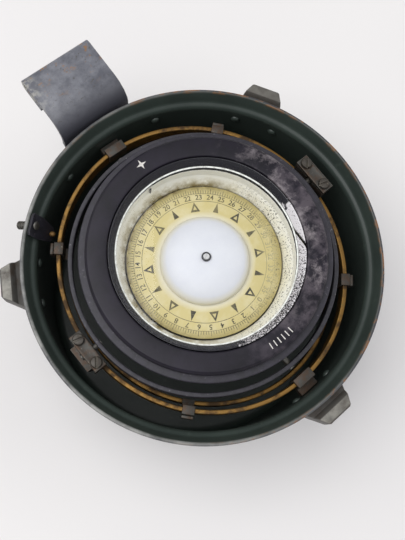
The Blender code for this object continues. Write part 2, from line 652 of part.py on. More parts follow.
def build_bowl_bottom(bowl, finishes, floor_z):
    """Diaphragm that takes up the liquid's swelling, ballasted cover, card pivot."""
    rim_z = floor_z - GAP
    base = rim_z - 0.0137
    wave = [rim_z - (0.0004 if k % 2 else 0.0008) for k in range(6)]
    plate = [(0.0056 * k, wave[k]) for k in range(6)]
    plate += [(radius, height - 0.0005) for radius, height in plate[::-1]]
    add_object("expansion_diaphragm", revolve(plate, 32), finishes["brass"], bowl)
    cover = [(0, base + 0.0020), (0.0240, base + 0.0020), (0.0286, base + 0.0060), (0.0286, rim_z),
             (0.0306, rim_z), (0.0306, base + 0.0045), (0.0250, base), (0, base)]
    add_object("bottom_cover", revolve(cover, 32), finishes["bowl"], bowl)
    ballast = rod_profile(0.0232, base + 0.0023, base + 0.0100)
    add_object("ballast_weight", revolve(ballast, 32), finishes["lead"], bowl)
    foot = floor_z + 0.0033
    tip = FLOAT_TOP - 0.0053
    post = [(0, foot), (0.0060, foot), (0.0060, foot + 0.0017), (0.0016, foot + 0.0037),
            (0.0012, tip - 0.0030), (0.0003, tip), (0, tip)]
    add_object("pivot_post", revolve(post, SMALL_STEPS), finishes["brass"], bowl)


def build_card(card, finishes):
    low = CARD_TOP - CARD_THICK
    disc = [(0.0040, low), (CARD_RADIUS, low), (CARD_RADIUS, CARD_TOP), (0.0040, CARD_TOP)]
    add_object("compass_card", revolve(disc, BOWL_STEPS), finishes["card"], card)
    start = CARD_TOP + GAP
    crown = 0.0024
    shoulder = start + 0.0010
    socket = FLOAT_TOP - 0.0032
    profile = [(0, socket), (0.0026, socket), (0.0026, start), (FLOAT_RADIUS, start)]
    for degrees in range(0, 91, 15):
        angle = math.radians(degrees)
        profile.append((crown + (FLOAT_RADIUS - crown) * math.cos(angle),
                        shoulder + (FLOAT_TOP - shoulder) * math.sin(angle)))
    profile.append((0, FLOAT_TOP))
    add_object("card_float", revolve(profile, 36), finishes["white"], card)
    jewel = rod_profile(0.0022, socket - GAP - 0.0015, socket - GAP)
    add_object("jewel_cup", revolve(jewel, SMALL_STEPS), finishes["jewel"], card)
    place = Matrix.Translation((0, 0, FLOAT_TOP + GAP)) @ Matrix.Rotation(math.radians(40), 4, "Z")
    slotted_head("float_cap", crown - 0.0001, 0.0013, 0, 0, finishes["steel"], card, place)
    for name, side in (("left", 1), ("right", -1)):
        bar = extrude_section(rectangle(-0.0220, 0.0220, low - GAP - 0.0030, low - GAP), 0.0018)
        shape = turn_to(bar, NORTH, (0, side * 0.0100, 0))
        add_object(f"card_magnet_{name}", shape, finishes["dark_steel"], card)


def main():
    clear_scene()
    finishes = {
        "enamel": material("grey_enamel", (0.44, 0.44, 0.47), 0.55),
        "steel": material("bare_steel", (0.55, 0.54, 0.52), 0.4, 1.0),
        "dark_steel": material("browned_steel", (0.24, 0.24, 0.26), 0.5, 0.6),
        "black_steel": material("blacked_steel", (0.08, 0.08, 0.09), 0.5, 0.5),
        "brass": material("brass", (0.63, 0.51, 0.27), 0.4, 1.0),
        "clip": material("painted_clip", (0.27, 0.27, 0.24), 0.5, 0.4),
        "screw": material("screw_brass", (0.45, 0.40, 0.28), 0.45, 1.0),
        "bowl": material("bowl_enamel", (0.20, 0.20, 0.22), 0.5),
        "black_enamel": material("black_enamel", (0.20, 0.19, 0.22), 0.35),
        "rubber": material("rubber", (0.10, 0.10, 0.10), 0.8),
        "glass": material("glass", (0.90, 0.93, 0.92), 0.05),
        "lead": material("lead", (0.30, 0.30, 0.32), 0.7, 0.8),
        "card": material("card_enamel", (0.84, 0.80, 0.61), 0.6),
        "white": material("white_enamel", (0.94, 0.94, 0.95), 0.4),
        "jewel": material("agate", (0.55, 0.20, 0.15), 0.2),
    }
    case = body("case")
    gimbal = body("gimbal", (0, 0, PIVOT_Z))
    bowl = body("bowl", (0, 0, PIVOT_Z))
    card = body("card", (0, 0, PIVOT_Z))
    lever = body("lever", lever_frame().translation)
    pot = add_object("case_shell", revolve(pot_profile()), finishes["enamel"], case)
    build_lugs(pot, case, finishes)
    build_hanger(pot, case, finishes)
    build_lever(pot, lever, finishes)
    build_rings(case, finishes)
    build_ring_clips(case, finishes)
    build_wall_clips(case, finishes)
    build_bearings(case, finishes)
    build_gimbal(gimbal, bowl, finishes)
    build_bowl(bowl, finishes)
    build_card(card, finishes)


main()
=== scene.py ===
import json
import math

import bmesh
import bpy
from mathutils import Matrix, Vector


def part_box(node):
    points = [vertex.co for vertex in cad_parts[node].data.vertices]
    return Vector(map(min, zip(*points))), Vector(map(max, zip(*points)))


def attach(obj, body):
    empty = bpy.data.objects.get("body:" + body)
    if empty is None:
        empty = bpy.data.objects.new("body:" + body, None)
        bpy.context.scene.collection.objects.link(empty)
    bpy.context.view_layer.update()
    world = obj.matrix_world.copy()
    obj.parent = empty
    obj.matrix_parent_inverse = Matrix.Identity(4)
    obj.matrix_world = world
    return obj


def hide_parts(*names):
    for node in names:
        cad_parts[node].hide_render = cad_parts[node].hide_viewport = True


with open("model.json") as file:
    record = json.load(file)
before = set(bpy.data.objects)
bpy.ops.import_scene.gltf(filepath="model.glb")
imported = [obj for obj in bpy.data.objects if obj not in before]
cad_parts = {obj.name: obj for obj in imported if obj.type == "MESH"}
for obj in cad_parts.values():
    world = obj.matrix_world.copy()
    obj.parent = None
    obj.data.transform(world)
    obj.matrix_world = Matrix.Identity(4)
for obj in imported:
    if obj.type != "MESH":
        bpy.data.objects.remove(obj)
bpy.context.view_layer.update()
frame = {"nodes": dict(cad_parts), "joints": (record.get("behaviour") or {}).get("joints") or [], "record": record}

MM = 0.001
TURN_STEPS = 160                # sides of the large turned pieces
SMALL_TURN_STEPS = 32
NODE_GAP = 0.3 * MM             # between solids that touch on the real object
BORE = 42.6 * MM                # of the bowl above the card
BEZEL_BORE = 46.1 * MM
RING_STRIP = 2.2 * MM           # thickness of the spring rings and the gimbal ring


def outer_radius(node):
    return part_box(node)[1].x


def top_of(node):
    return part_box(node)[1].z


def foot_of(node):
    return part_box(node)[0].z


PIVOT_Z = {joint["name"]: joint for joint in frame["joints"]}["card_spin"]["pos_m"][2]
RIM_Z = top_of("case_shell")
RIM_RADIUS = outer_radius("case_shell")
CARD_TOP = top_of("compass_card")
NORTH = math.radians(-74)       # where the card's north points
WEAR_AND_SHEEN_SIDE = math.radians(-40)   # the side on which the bezel and the split ring are rubbed bare, and where the bezel's pale patches are partly painted reflection
RIM_HIGHLIGHT_SIDE = math.radians(170)  # the side on which the pot's edge is painted with a highlight and rubbed pale; it rusts opposite
MARKS_RADIUS = 51.5 * MM        # where the bezel's marks are cut


# ---------------------------------------------------------------- materials

def paint(hex_colour):
    """Linear colour from an sRGB hex value."""
    channels = [int(hex_colour[i:i + 2], 16) / 255 for i in (1, 3, 5)]
    linear = [c / 12.92 if c <= 0.04045 else ((c + 0.055) / 1.055) ** 2.4 for c in channels]
    return (*linear, 1.0)


def add(tree, kind, inputs=(), **settings):
    """Add a shader node. An input is a value, a node or a node's output; a number picks it by place."""
    made = tree.nodes.new("ShaderNode" + kind)
    for name, value in settings.items():
        setattr(made, name, value)
    for key, value in dict(inputs).items():
        if isinstance(key, int):
            socket = made.inputs[key]
        else:
            socket = next(s for s in made.inputs if s.enabled and s.name == key)
        if isinstance(value, bpy.types.Node):
            value = next(s for s in value.outputs if s.enabled)
        if isinstance(value, bpy.types.NodeSocket):
            tree.links.new(value, socket)
        else:
            socket.default_value = value
    return made


def start_material(name):
    """Empty material, its tree and the object coordinates, which are the frame's metres."""
    made = bpy.data.materials.new(name)
    made.use_nodes = True
    made.node_tree.nodes.clear()
    return made, made.node_tree, add(made.node_tree, "TexCoord").outputs["Object"]


def finish_material(tree, shader):
    add(tree, "OutputMaterial", {"Surface": shader})


def patches(tree, where, size_mm, low, high, detail=6.0, roughness=0.65):
    """Mask of irregular patches about size_mm across; it rises where the noise goes from low to high."""
    grain = add(tree, "TexNoise", {"Vector": where, "Scale": 1 / (size_mm * MM), "Detail": detail,
                                   "Roughness": roughness})
    return add(tree, "MapRange", {"Value": grain, "From Min": low, "From Max": high}).outputs[0]


def facing(tree, where, angle, start, full):
    """Mask of the side of a round piece that looks towards an angle; start and full are cosines."""
    flat = add(tree, "VectorMath", {0: where, 1: (1, 1, 0)}, operation="MULTIPLY")
    outward = add(tree, "VectorMath", {0: flat}, operation="NORMALIZE")
    side = add(tree, "VectorMath", {0: outward, 1: (math.cos(angle), math.sin(angle), 0)},
               operation="DOT_PRODUCT").outputs["Value"]
    return add(tree, "MapRange", {"Value": side, "From Min": start, "From Max": full}).outputs[0]


def radius_band(tree, where, start, full):
    """Mask that rises with the distance from the axis, from start to full in metres."""
    flat = add(tree, "VectorMath", {0: where, 1: (1, 1, 0)}, operation="MULTIPLY")
    reach = add(tree, "VectorMath", {0: flat}, operation="LENGTH").outputs["Value"]
    return add(tree, "MapRange", {"Value": reach, "From Min": start, "From Max": full}).outputs[0]


def height_band(tree, where, start, full):
    height = add(tree, "SeparateXYZ", {"Vector": where}).outputs["Z"]
    return add(tree, "MapRange", {"Value": height, "From Min": start, "From Max": full}).outputs[0]


def worn_edges(tree, radius_mm):
    """Mask of the convex and concave corners, where paint and tarnish rub off."""
    rounded = add(tree, "Bevel", {"Radius": radius_mm * MM}, samples=4)
    flat = add(tree, "NewGeometry").outputs["Normal"]
    match = add(tree, "VectorMath", {0: rounded, 1: flat}, operation="DOT_PRODUCT").outputs["Value"]
    return add(tree, "MapRange", {"Value": match, "From Min": 0.995, "From Max": 0.86}).outputs[0]


def times(tree, *masks):
    """Product of masks."""
    result = masks[0]
    for mask in masks[1:]:
        result = add(tree, "Math", {0: result, 1: mask}, operation="MULTIPLY")
    return result


def layers(tree, ground, *coats):
    """Colours laid over a ground, each through its own mask."""
    result = ground
    for mask, colour in coats:
        result = add(tree, "Mix", {"Factor": mask, "A": result, "B": colour}, data_type="RGBA")
    return result


def relief(tree, where, size_mm, depth_mm, detail=3.0):
    """Normal of a surface with bumps about size_mm across."""
    grain = add(tree, "TexNoise", {"Vector": where, "Scale": 1 / (size_mm * MM), "Detail": detail})
    return add(tree, "Bump", {"Height": grain, "Distance": depth_mm * MM, "Strength": 1.0})


def pot_inside_enamel():
    """Dark green-grey alkyd enamel, brushed on: soft mottling, dull; the rolled edge is rubbed pale, with a
    painted highlight on one side.
    """
    made, tree, where = start_material("green_grey_enamel")
    mottled = patches(tree, where, 22, 0.35, 0.7)
    scuffed = patches(tree, where, 5, 0.62, 0.74)
    rim = height_band(tree, where, RIM_Z - 1.0 * MM, RIM_Z - 0.3 * MM)
    # painted highlight: the rolled edge is painted pale on one side, broken up in patches of wear
    rubbed = times(tree, rim, facing(tree, where, RIM_HIGHLIGHT_SIDE, -0.6, 0.8),
                   patches(tree, where, 12, 0.30, 0.62))
    rusted = times(tree, rim, facing(tree, where, RIM_HIGHLIGHT_SIDE + math.pi, -0.7, 0.4),
                   patches(tree, where, 9, 0.50, 0.60))
    colour = layers(tree, paint("#2F3733"), (mottled, paint("#37403B")), (scuffed, paint("#404943")),
                    (rim, paint("#3D403C")), (rubbed, paint("#8D8E8A")), (rusted, paint("#6E4F33")))
    shader = add(tree, "BsdfPrincipled", {"Base Color": colour, "Roughness": 0.42,
                                          "Normal": relief(tree, where, 3.0, 0.05)})
    finish_material(tree, shader)
    return made


def pot_outside_enamel():
    """Blue-grey enamel outside, dulled and scratched, with rust where it has chipped."""
    made, tree, where = start_material("blue_grey_enamel")
    mottled = patches(tree, where, 18, 0.35, 0.7)
    rim = height_band(tree, where, RIM_Z - 1.6 * MM, RIM_Z - 0.2 * MM)
    # painted highlight: the rolled edge is painted pale on one side, broken up in patches of wear
    rubbed = times(tree, rim, facing(tree, where, RIM_HIGHLIGHT_SIDE, -0.6, 0.8),
                   patches(tree, where, 12, 0.3, 0.6))
    rusted = times(tree, rim, facing(tree, where, RIM_HIGHLIGHT_SIDE + math.pi, -0.7, 0.4),
                   patches(tree, where, 6, 0.50, 0.58))
    dulled = height_band(tree, where, RIM_Z - 6 * MM, RIM_Z - 1.5 * MM)
    chipped = patches(tree, where, 7, 0.68, 0.72)
    stretched = add(tree, "Mapping", {"Vector": where, "Scale": (1, 1, 9)})
    scratched = patches(tree, stretched, 8, 0.66, 0.7)
    streaked = patches(tree, add(tree, "Mapping", {"Vector": where, "Scale": (1, 1, 0.18)}), 9, 0.50, 0.72)
    foot = times(tree, height_band(tree, where, 14 * MM, 2 * MM), patches(tree, where, 6, 0.36, 0.60))
    colour = layers(tree, paint("#54565C"), (mottled, paint("#62636A")), (streaked, paint("#4A4A4C")),
                    (scratched, paint("#85868A")), (foot, paint("#43403C")), (dulled, paint("#34363A")),
                    (rubbed, paint("#8F8E8A")), (rusted, paint("#7A5230")), (chipped, paint("#5C4433")))
    shader = add(tree, "BsdfPrincipled", {"Base Color": colour, "Roughness": 0.5,
                                          "Normal": relief(tree, where, 2.5, 0.06)})
    finish_material(tree, shader)
    return made


def lug_paint():
    """Grey paint on cast metal: a pale putty grey on the raised pad, painted there as a highlight on the upward
    faces and broken up like rubbed paint, brown in the hollow; lugs on one side are painted darker as shade.
    """
    made, tree, where = start_material("worn_casting_paint")
    normal = add(tree, "NewGeometry").outputs["Normal"]
    upward = add(tree, "SeparateXYZ", {"Vector": normal}).outputs["Z"]
    level = add(tree, "MapRange", {"Value": upward, "From Min": 0.80, "From Max": 0.99}).outputs[0]
    high = height_band(tree, where, RIM_Z - 7.6 * MM, RIM_Z - 6.0 * MM)
    # painted highlight: the upward faces of the raised pad are painted pale putty grey, in patches
    rubbed = times(tree, level, high, patches(tree, where, 5, 0.3, 0.6))
    dirty = patches(tree, where, 6, 0.45, 0.62)
    # painted shade: lugs on the side away from the rim's highlight are painted darker
    shaded_side = times(tree, facing(tree, where, RIM_HIGHLIGHT_SIDE + math.pi, -0.2, 0.8), 0.75)
    edges = times(tree, worn_edges(tree, 0.8), patches(tree, where, 3, 0.35, 0.6))
    colour = layers(tree, paint("#55534F"), (dirty, paint("#473E36")), (rubbed, paint("#908D84")),
                    (edges, paint("#777570")), (shaded_side, paint("#47433E")))
    shader = add(tree, "BsdfPrincipled", {"Base Color": colour, "Roughness": 0.55,
                                          "Normal": relief(tree, where, 1.2, 0.12)})
    finish_material(tree, shader)
    return made


def hanger_paint():
    """Blue-grey paint on bent strip: clouded and scratched, pale scrapes down one edge, rust specks."""
    made, tree, where = start_material("worn_strip_paint")
    x = add(tree, "SeparateXYZ", {"Vector": where}).outputs["X"]
    y = add(tree, "SeparateXYZ", {"Vector": where}).outputs["Y"]
    clouded = patches(tree, where, 7, 0.38, 0.62, detail=8.0, roughness=0.7)
    left = add(tree, "MapRange", {"Value": x, "From Min": -9 * MM, "From Max": -17 * MM}).outputs[0]
    far = add(tree, "MapRange", {"Value": y, "From Min": 100 * MM, "From Max": 123 * MM}).outputs[0]
    scraped = times(tree, left, far, patches(tree, where, 3.5, 0.46, 0.56))
    rust_far = times(tree, far, patches(tree, where, 4.5, 0.58, 0.64))
    # painted shade: the strip is painted darker towards the rim, where it bends down towards the pot
    shade_near_rim = add(tree, "MapRange", {"Value": y, "From Min": 104 * MM, "From Max": 91 * MM}).outputs[0]
    edges = times(tree, worn_edges(tree, 0.5), patches(tree, where, 4, 0.4, 0.6))
    specks = patches(tree, where, 1.6, 0.60, 0.68)
    colour = layers(tree, paint("#55565E"), (clouded, paint("#73747B")), (specks, paint("#4C4945")),
                    (shade_near_rim, paint("#3E3E45")), (scraped, paint("#B3AFA2")), (edges, paint("#8E8C86")),
                    (rust_far, paint("#8A6236")))
    shader = add(tree, "BsdfPrincipled", {"Base Color": colour, "Roughness": 0.48,
                                          "Normal": relief(tree, where, 2.0, 0.05)})
    finish_material(tree, shader)
    return made


def tarnished_brass(name="tarnished_brass", ground="#80602F", dull="#4B3925"):
    """Rolled brass strip, dulled to ochre with brown patches; the corners are rubbed brighter."""
    made, tree, where = start_material(name)
    brown = patches(tree, where, 9, 0.46, 0.60)
    green = patches(tree, where, 4, 0.60, 0.72)
    edges = times(tree, worn_edges(tree, 0.4), patches(tree, where, 6, 0.3, 0.6))
    colour = layers(tree, paint(ground), (brown, paint(dull)), (green, paint("#6A6340")),
                    (edges, paint("#A5834A")))
    rough = add(tree, "MapRange", {"Value": brown, "To Min": 0.42, "To Max": 0.62}).outputs[0]
    shader = add(tree, "BsdfPrincipled", {"Base Color": colour, "Metallic": 0.75, "Roughness": rough,
                                          "Normal": relief(tree, where, 0.8, 0.03)})
    finish_material(tree, shader)
    return made


def browned_steel(name, ground, rubbed, dirt, metal=0.5):
    """Blackened or painted steel fittings: grimy, rubbed to bare metal at the corners."""
    made, tree, where = start_material(name)
    grime = patches(tree, where, 3.5, 0.42, 0.62)
    edges = times(tree, worn_edges(tree, 0.5), patches(tree, where, 2.5, 0.3, 0.6))
    spots = patches(tree, where, 1.6, 0.62, 0.70)
    colour = layers(tree, paint(ground), (grime, paint(dirt)), (spots, paint(rubbed)),
                    (edges, paint(rubbed)))
    shader = add(tree, "BsdfPrincipled", {"Base Color": colour, "Metallic": metal, "Roughness": 0.52,
                                          "Normal": relief(tree, where, 0.9, 0.06)})
    finish_material(tree, shader)
    return made


def bezel_enamel():
    """Black stoving enamel with a plum cast; one side is rubbed to a mottled grey metal, whose pale patches are
    partly painted reflection.
    """
    made, tree, where = start_material("black_stoving_enamel")
    side = facing(tree, where, WEAR_AND_SHEEN_SIDE, 0.25, 0.95)
    cloudy = patches(tree, where, 16, 0.35, 0.65)
    # painted reflection and wear: the pale mottled patches on one side stand partly for reflected light, partly
    # for rubbed paint
    rubbed = times(tree, side, patches(tree, where, 8, 0.44, 0.62))
    bare = times(tree, facing(tree, where, WEAR_AND_SHEEN_SIDE + 0.35, 0.35, 0.9),
                 patches(tree, where, 11, 0.50, 0.66, detail=9.0, roughness=0.75))
    pits = times(tree, side, patches(tree, where, 1.8, 0.64, 0.68))
    dust = patches(tree, where, 1.5, 0.72, 0.76)
    edges = times(tree, worn_edges(tree, 0.5), patches(tree, where, 5, 0.35, 0.6))
    colour = layers(tree, paint("#15131A"), (cloudy, paint("#201C27")), (rubbed, paint("#534C52")),
                    (bare, paint("#857D80")), (pits, paint("#262326")), (dust, paint("#5B595E")),
                    (edges, paint("#5F5D62")))
    shader = add(tree, "BsdfPrincipled", {"Base Color": colour, "Roughness": 0.40, "Metallic": 0.1,
                                          "Specular IOR Level": 0.25,
                                          "Normal": relief(tree, where, 1.6, 0.03)})
    finish_material(tree, shader)
    return made


def split_ring_metal():
    """White metal ring that was blacked: glossy black on one side, bare and pitted on the other.

    Its steep faces, in the slit and along the inner edge, are painted near-black as shade.
    """
    made, tree, where = start_material("blacked_white_metal")
    side = facing(tree, where, WEAR_AND_SHEEN_SIDE - 0.31, 0.48, 0.78)
    ragged = add(tree, "TexNoise", {"Vector": where, "Scale": 1 / (3 * MM), "Detail": 5.0})
    bare = add(tree, "Math", {0: side, 1: ragged}, operation="ADD")
    bare = add(tree, "MapRange", {"Value": bare, "From Min": 0.92, "From Max": 1.02}).outputs[0]
    pitted = facing(tree, where, WEAR_AND_SHEEN_SIDE - 0.80, 0.50, 0.98)
    grain = add(tree, "TexNoise", {"Vector": where, "Scale": 1 / (0.6 * MM), "Detail": 3.0})
    pits = add(tree, "Math", {0: pitted, 1: 0.16, 2: grain}, operation="MULTIPLY_ADD")
    pits = add(tree, "MapRange", {"Value": pits, "From Min": 0.60, "From Max": 0.66}).outputs[0]
    metal = layers(tree, paint("#DAD6D8"), (pits, paint("#2B282B")))
    normal = add(tree, "NewGeometry").outputs["Normal"]
    level = add(tree, "SeparateXYZ", {"Vector": normal}).outputs["Z"]
    # painted shade: faces that stand steep, in the slit and along the inner edge, are painted near-black
    upright_shade = add(tree, "MapRange", {"Value": level, "From Min": 0.45, "From Max": 0.25}).outputs[0]
    colour = layers(tree, paint("#1E1D23"), (bare, metal), (upright_shade, paint("#0B0B0C")))
    rough = add(tree, "MapRange", {"Value": bare, "To Min": 0.25, "To Max": 0.55}).outputs[0]
    shader = add(tree, "BsdfPrincipled", {"Base Color": colour, "Metallic": 0.15, "Roughness": rough,
                                          "Normal": relief(tree, where, 0.8, 0.08)})
    finish_material(tree, shader)
    return made


def bowl_inside_enamel():
    """White bowl enamel, yellowed and stained brown near the card, peppered on one side."""
    made, tree, where = start_material("white_bowl_enamel")
    low = height_band(tree, where, CARD_TOP + 5 * MM, CARD_TOP - 1 * MM)
    yellow = times(tree, low, patches(tree, where, 12, 0.25, 0.6))
    stained_side = facing(tree, where, WEAR_AND_SHEEN_SIDE + math.pi - 0.3, -0.75, 0.3)
    stain = times(tree, height_band(tree, where, CARD_TOP + 2.6 * MM, CARD_TOP - 0.5 * MM), stained_side,
                  patches(tree, where, 6, 0.38, 0.60))
    pepper = times(tree, facing(tree, where, WEAR_AND_SHEEN_SIDE, 0.2, 0.8), patches(tree, where, 0.8, 0.55, 0.61))
    pepper = times(tree, pepper, height_band(tree, where, CARD_TOP + 7 * MM, CARD_TOP + 2 * MM))
    colour = layers(tree, paint("#F4F4EE"), (yellow, paint("#E4DDBE")), (stain, paint("#8A7A4C")),
                    (pepper, paint("#5A564C")))
    shader = add(tree, "BsdfPrincipled", {"Base Color": colour, "Roughness": 0.45,
                                          "Normal": relief(tree, where, 2.0, 0.04)})
    finish_material(tree, shader)
    return made


def card_lacquer():
    """Lacquered card, aged to straw yellow: painted paler round the float as a glow, browned and blotched at the
    edge, darker brown at the edge on one side.
    """
    made, tree, where = start_material("aged_card_lacquer")
    # painted glow: the card is painted paler close round the white float
    glow_round_float = radius_band(tree, where, 25.0 * MM, 21.5 * MM)
    edge = radius_band(tree, where, 33.0 * MM, 37.2 * MM)
    browned = times(tree, edge, patches(tree, where, 7, 0.25, 0.52))
    # darker brown band at the card's edge on one side
    dark_side = facing(tree, where, WEAR_AND_SHEEN_SIDE + math.pi - 0.3, -0.3, 0.7)
    darker_edge_band = times(tree, radius_band(tree, where, 35.2 * MM, 37.4 * MM), dark_side,
                  patches(tree, where, 4, 0.40, 0.58))
    blotched = patches(tree, where, 10, 0.45, 0.68)
    pepper = times(tree, facing(tree, where, WEAR_AND_SHEEN_SIDE, 0.3, 0.9),
                   radius_band(tree, where, 30 * MM, 35 * MM), patches(tree, where, 0.7, 0.55, 0.62))
    colour = layers(tree, paint("#CDBF84"), (blotched, paint("#D5CA9C")), (browned, paint("#A89A60")),
                    (darker_edge_band, paint("#6E5F38")), (pepper, paint("#6C6648")), (glow_round_float, paint("#E2DECB")))
    shader = add(tree, "BsdfPrincipled", {"Base Color": colour, "Roughness": 0.55})
    finish_material(tree, shader)
    return made


def card_ink():
    """Black printing ink, rubbed away in places so that the card shows through, bleached on one side."""
    made, tree, where = start_material("faded_printing_ink")
    faded = times(tree, patches(tree, where, 9, 0.42, 0.66), 0.55)
    broken = patches(tree, where, 1.2, 0.52, 0.66)
    bleached = times(tree, facing(tree, where, WEAR_AND_SHEEN_SIDE, 0.62, 0.95),
                     radius_band(tree, where, 27 * MM, 32 * MM))
    colour = layers(tree, paint("#34322A"), (broken, paint("#6B6549")), (faded, paint("#A29768")),
                    (bleached, paint("#B5AC84")))
    shader = add(tree, "BsdfPrincipled", {"Base Color": colour, "Roughness": 0.6})
    finish_material(tree, shader)
    return made


def plain_finish(name, colour, roughness, metal=0.0, mottle="#808080", size_mm=3.0, share=0.3):
    """Small fittings of one finish, with faint mottling and fine relief."""
    made, tree, where = start_material(name)
    spots = times(tree, patches(tree, where, size_mm, 0.45, 0.65), share)
    mixed = layers(tree, paint(colour), (spots, paint(mottle)))
    shader = add(tree, "BsdfPrincipled", {"Base Color": mixed, "Roughness": roughness, "Metallic": metal,
                                          "Normal": relief(tree, where, 0.8, 0.02)})
    finish_material(tree, shader)
    return made


def float_lacquer():
    """White lacquer with a cool cast, yellowed where the dome meets the card."""
    made, tree, where = start_material("white_float_lacquer")
    rim = radius_band(tree, where, 18.5 * MM, 21.9 * MM)
    cloudy = patches(tree, where, 14, 0.35, 0.7)
    colour = layers(tree, paint("#DCDEE3"), (cloudy, paint("#D5D7DE")), (rim, paint("#DDD8C4")))
    shader = add(tree, "BsdfPrincipled", {"Base Color": colour, "Roughness": 0.4,
                                          "Subsurface Weight": 0.25, "Subsurface Radius": (1, 1, 0.9),
                                          "Subsurface Scale": 1.5 * MM})
    finish_material(tree, shader)
    return made


def cover_glass():
    """Flat clear glass: see-through, with reflections that grow towards grazing angles.

    Only outer faces reflect, as the ray isn't bent on its way in; the low index stands for glass
    that is wetted by the liquid below it.
    """
    made, tree, _ = start_material("flat_cover_glass")
    clear = add(tree, "BsdfTransparent", {"Color": (1, 1, 1, 1)})
    gloss = add(tree, "BsdfGlossy", {"Color": (1, 1, 1, 1), "Roughness": 0.03})
    inner_face = add(tree, "NewGeometry").outputs["Backfacing"]
    outer_face = add(tree, "Math", {0: 1.0, 1: inner_face}, operation="SUBTRACT")
    share = times(tree, add(tree, "Fresnel", {"IOR": 1.28}), outer_face)
    shader = add(tree, "MixShader", {0: share, 1: clear, 2: gloss})
    finish_material(tree, shader)
    return made


def studio_floor():
    """Matt pale paint, hardly clouded."""
    made, tree, where = start_material("pale_table_paint")
    cloud = patches(tree, where, 300, 0.3, 0.7, detail=1.0)
    colour = layers(tree, paint("#EBE8E6"), (cloud, paint("#E5E2E1")))
    finish_material(tree, add(tree, "BsdfPrincipled", {"Base Color": colour, "Roughness": 0.8}))
    return made


FINISHES = {
    "pot_enamel": pot_inside_enamel(),
    "lug_enamel": lug_paint(),
    "hanger_enamel": hanger_paint(),
    "bare_steel": browned_steel("dull_bare_steel", "#62605C", "#96948F", "#4A463F", metal=0.8),
    "ring_brass": tarnished_brass(),
    "clip_steel": browned_steel("browned_clip_steel", "#43413D", "#79746A", "#49382B"),
    "screw_brass": browned_steel("tarnished_screw_brass", "#4B4742", "#77705F", "#38322C", metal=0.5),
    "gimbal_steel": browned_steel("worn_gimbal_paint", "#37353C", "#77757A", "#2B2A2F", metal=0.2),
    "bowl_enamel": browned_steel("black_bowl_paint", "#2D2A34", "#5C5860", "#232128", metal=0.1),
    "bezel_enamel": bezel_enamel(),
    "glass": cover_glass(),
    "gasket_rubber": plain_finish("gasket_rubber", "#1C1C1C", 0.7),
    "retaining_metal": split_ring_metal(),
    "fitting_brass": tarnished_brass("rusty_brass", "#9C7A48", "#5E432B"),
    "lead": plain_finish("cast_lead", "#6A6B70", 0.6, metal=0.6),
    "black_line": plain_finish("black_wire_paint", "#2A2925", 0.5),
    "card_enamel": card_lacquer(),
    "float_enamel": float_lacquer(),
    "agate": plain_finish("agate", "#8C3A26", 0.15, mottle="#5A1E12"),
    "magnet_steel": plain_finish("magnet_steel", "#3A3A3E", 0.4, metal=0.8),
    "lever_steel": browned_steel("blacked_lever_steel", "#24232A", "#5A5560", "#1B1A1F", metal=0.2),
}
BOWL_WHITE = bowl_inside_enamel()
POT_OUTSIDE = pot_outside_enamel()
INK = card_ink()
ENGRAVED = plain_finish("white_filled_engraving", "#D8D4CE", 0.6, mottle="#8A8582", size_mm=1.5)
NICKEL = plain_finish("nickelled_screw", "#C9C9C9", 0.35, metal=0.4, mottle="#8E8E90")
GROUND_GLASS = plain_finish("ground_glass_edge", "#F2F4EE", 0.5, mottle="#A3A29A", size_mm=2.0,
                            share=0.7)
SLOT_OF = {part["node"]: part["material_slot"] for part in frame["record"]["subparts"]}
BODY_OF = {node: body for body, nodes in frame["record"]["behaviour"]["bodies"].items()
           for node in nodes}


# ---------------------------------------------------------------- mesh work

def make_piece(name, shape, body, materials, replaced=(), sharp=35):
    """Turn a bmesh into a piece that rides on a body and stands for CAD nodes."""
    bmesh.ops.recalc_face_normals(shape, faces=shape.faces)
    mesh = bpy.data.meshes.new(name)
    shape.to_mesh(mesh)
    shape.free()
    mesh.shade_smooth()
    mesh.set_sharp_from_angle(angle=math.radians(sharp))
    for finish in materials:
        mesh.materials.append(finish)
    made = bpy.data.objects.new(name, mesh)
    bpy.context.scene.collection.objects.link(made)
    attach(made, body)
    if replaced:
        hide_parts(*replaced)


def soften(points, radius, closed=True, steps=3):
    """Outline with every corner rounded by up to radius, less where its sides are short."""
    count = len(points)
    result = []
    for i, point in enumerate(points):
        corner = Vector(point)
        if not closed and i in (0, count - 1):
            result.append(corner)
            continue
        before = Vector(points[i - 1]) - corner
        after = Vector(points[(i + 1) % count]) - corner
        reach = min(radius, 0.45 * before.length, 0.45 * after.length)
        first = corner + before.normalized() * reach
        last = corner + after.normalized() * reach
        for k in range(steps + 1):
            t = k / steps
            result.append(first * (1 - t) ** 2 + corner * (2 * t * (1 - t)) + last * t ** 2)
    return result


def turned(profile, steps=TURN_STEPS, sweep=2 * math.pi):
    """Solid turned about Z from (radius, height) points; it closes on the axis or on itself."""
    full = sweep > 2 * math.pi - 1e-6
    count = steps if full else steps + 1
    shape = bmesh.new()
    rings = []
    for radius, height in profile:
        turns = count if radius > 1e-9 else 1
        angles = [sweep * i / steps for i in range(turns)]
        rings.append([shape.verts.new((radius * math.cos(a), radius * math.sin(a), height))
                      for a in angles])
    pairs = list(zip(rings, rings[1:]))
    if profile[0][0] > 1e-9:
        pairs.append((rings[-1], rings[0]))
    for first, second in pairs:
        for i in range(steps):
            j = (i + 1) % count
            corners = [first[i % len(first)], first[j % len(first)]]
            corners += [second[j % len(second)], second[i % len(second)]]
            corners = list(dict.fromkeys(corners))
            if len(corners) > 2:
                shape.faces.new(corners)
    if not full:
        shape.faces.new([ring[0] for ring in rings])
        shape.faces.new([ring[-1] for ring in rings])
    return shape


